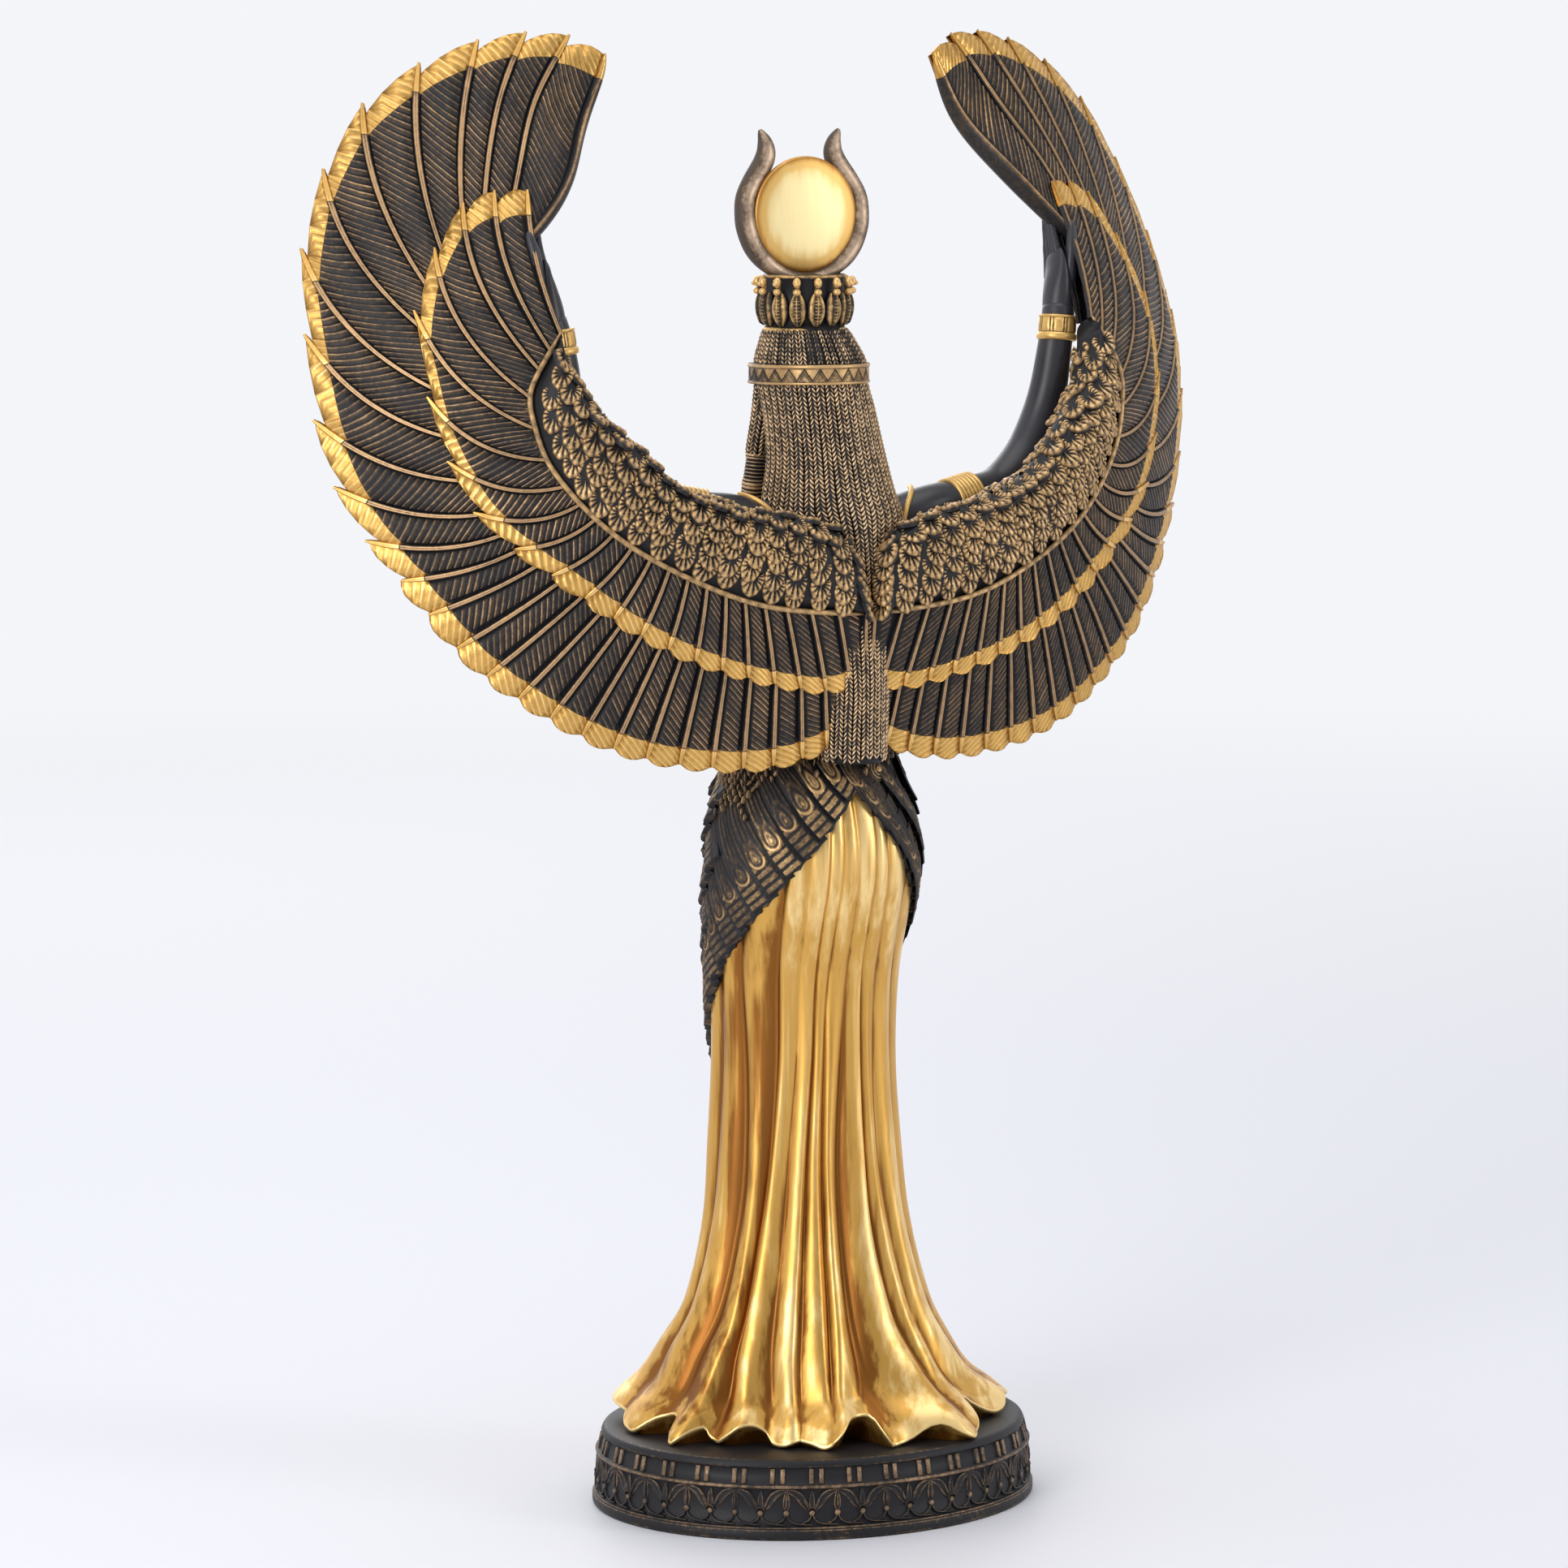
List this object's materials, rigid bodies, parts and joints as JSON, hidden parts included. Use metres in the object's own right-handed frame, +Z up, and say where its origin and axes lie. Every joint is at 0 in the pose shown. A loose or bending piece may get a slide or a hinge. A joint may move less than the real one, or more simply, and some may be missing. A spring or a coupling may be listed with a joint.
{
  "type": "winged egyptian goddess statue",
  "caption": "Standing winged goddess with raised arms, a horned sun disc and a flared gold skirt, on an oval plinth; a tabletop figure that stands by its own weight.",
  "frame": {"origin": "middle of the plinth's underside", "axes": "+Z up, the figure faces -Y, her left side is +X"},
  "size_m": [0.4208, 0.167, 0.6191],
  "materials": {
    "plinth_black": "cast resin painted satin black, raised edges rubbed with dull bronze",
    "gold_paint": "bright gold paint over cast resin, amber glaze left in the folds",
    "wing_black": "cast resin painted black, barbs rubbed with bronze, feather tips painted gold",
    "hair_bronze": "cast resin painted black, braids and carved feathers rubbed with bronze",
    "skin_black": "cast resin painted smooth satin black",
    "disc_gold": "pale gold paint brushed up and down, warmer at the rim",
    "horn_bronze": "dark paint rubbed along its length with pale bronze"
  },
  "bodies": {
    "root": {"plinth": "plinth_black", "figure": "gold_paint", "left_wing": "wing_black", "right_wing": "wing_black", "horned_disc": "horn_bronze"}
  },
  "joints": []
}
